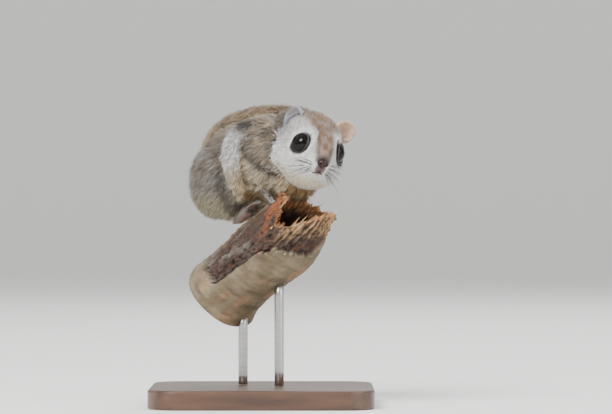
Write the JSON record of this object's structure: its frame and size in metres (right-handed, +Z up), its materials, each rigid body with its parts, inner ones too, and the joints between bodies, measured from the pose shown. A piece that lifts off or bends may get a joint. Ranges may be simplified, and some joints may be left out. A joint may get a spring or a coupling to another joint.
{
  "type": "flying squirrel model",
  "caption": "Life-size still model of a flying squirrel crouched on a broken, hollow branch stub, held by a small display stand.",
  "frame": {"origin": "centre of the bounding box in x and y, at the underside of the stand's base", "axes": "+Z up; the animal crouches towards +X and turns its face towards -Y"},
  "size_m": [0.116, 0.1, 0.1562],
  "materials": {
    "coat": "soft fur, grey-brown",
    "face": "soft fur, pale grey",
    "pale": "soft fur, cream",
    "ear": "thin skin, sparse hair",
    "skin": "bare moist skin",
    "eye": "wet gloss",
    "wood": "bark and weathered wood",
    "base": "satin, dark stain",
    "rod": "satin"
  },
  "bodies": {
    "root": {"head": "face", "neck": "coat", "torso": "coat", "tail": "coat", "nose": "skin", "eye_right": "eye", "ear_right": "ear", "foreleg_right": "coat", "forepaw_right": "pale", "thigh_right": "coat", "hind_foot_right": "pale", "membrane_right": "pale", "eye_left": "eye", "ear_left": "ear", "foreleg_left": "coat", "forepaw_left": "pale", "thigh_left": "coat", "hind_foot_left": "pale", "membrane_left": "pale", "perch": "wood", "stand_base": "base", "stand_rod_1": "rod", "stand_rod_2": "rod"}
  },
  "joints": []
}
